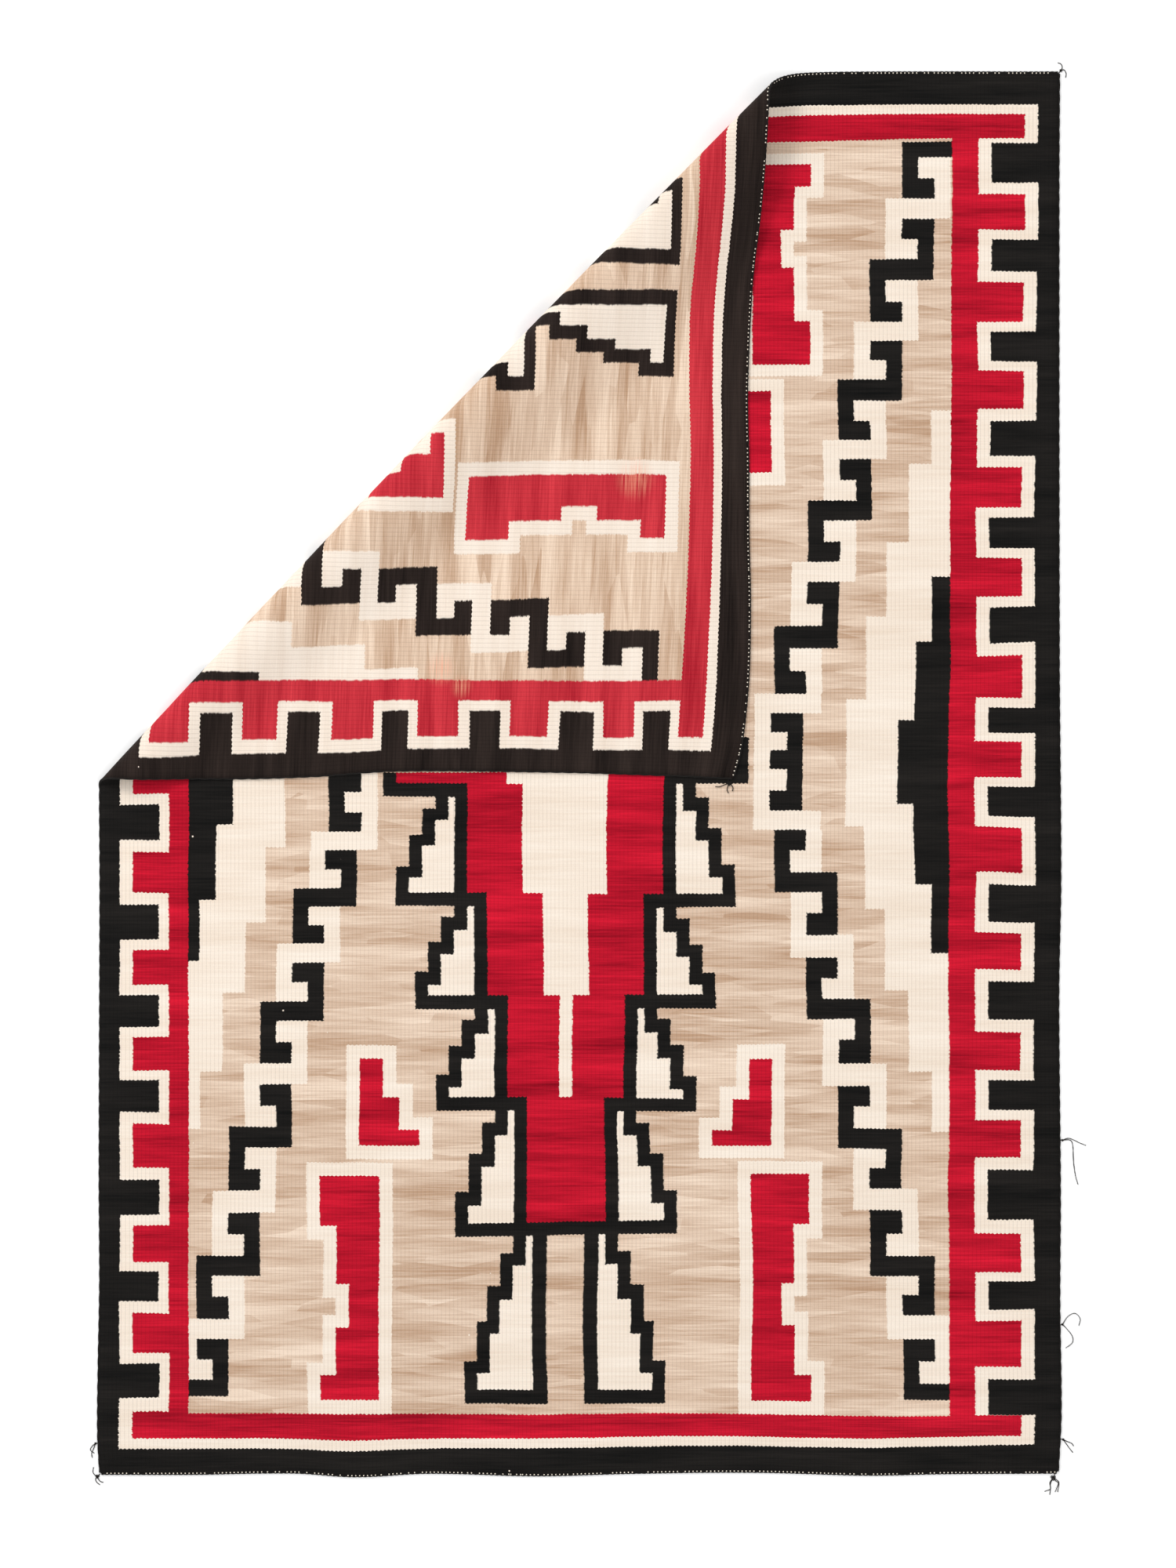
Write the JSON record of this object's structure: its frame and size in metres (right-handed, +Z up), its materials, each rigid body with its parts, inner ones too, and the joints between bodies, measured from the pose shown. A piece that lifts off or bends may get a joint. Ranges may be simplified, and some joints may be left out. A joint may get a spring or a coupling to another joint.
{
  "type": "navajo rug",
  "caption": "Handwoven wool rug lying flat, its top left corner folded over in a soft roll to show the back; twined edge cords, corner tassels and loose yarn ends.",
  "frame": {"origin": "centre of the underside of the rug as it is laid out flat, on the floor", "axes": "+Z up from the floor; +Y along the length, towards the end whose left corner is folded over; +X across the width, towards the side that isn't folded"},
  "size_m": [1.5246, 2.1922, 0.0557],
  "materials": {
    "cloth": "matt handspun wool tapestry in black, ivory, red and streaked beige",
    "edge_cord": "matt black two-ply wool yarn"
  },
  "bodies": {
    "root": {"cloth": "cloth", "end_cord_top": "edge_cord", "end_cord_bottom": "edge_cord", "side_cord_left": "edge_cord", "side_cord_right": "edge_cord", "tassel_bottom_right": "edge_cord", "tassel_bottom_left": "edge_cord", "tassel_top_right": "edge_cord", "tassel_turned_corner": "edge_cord", "yarn_end_upper": "edge_cord", "yarn_end_middle": "edge_cord", "yarn_end_lower": "edge_cord", "yarn_end_left": "edge_cord"}
  },
  "joints": []
}
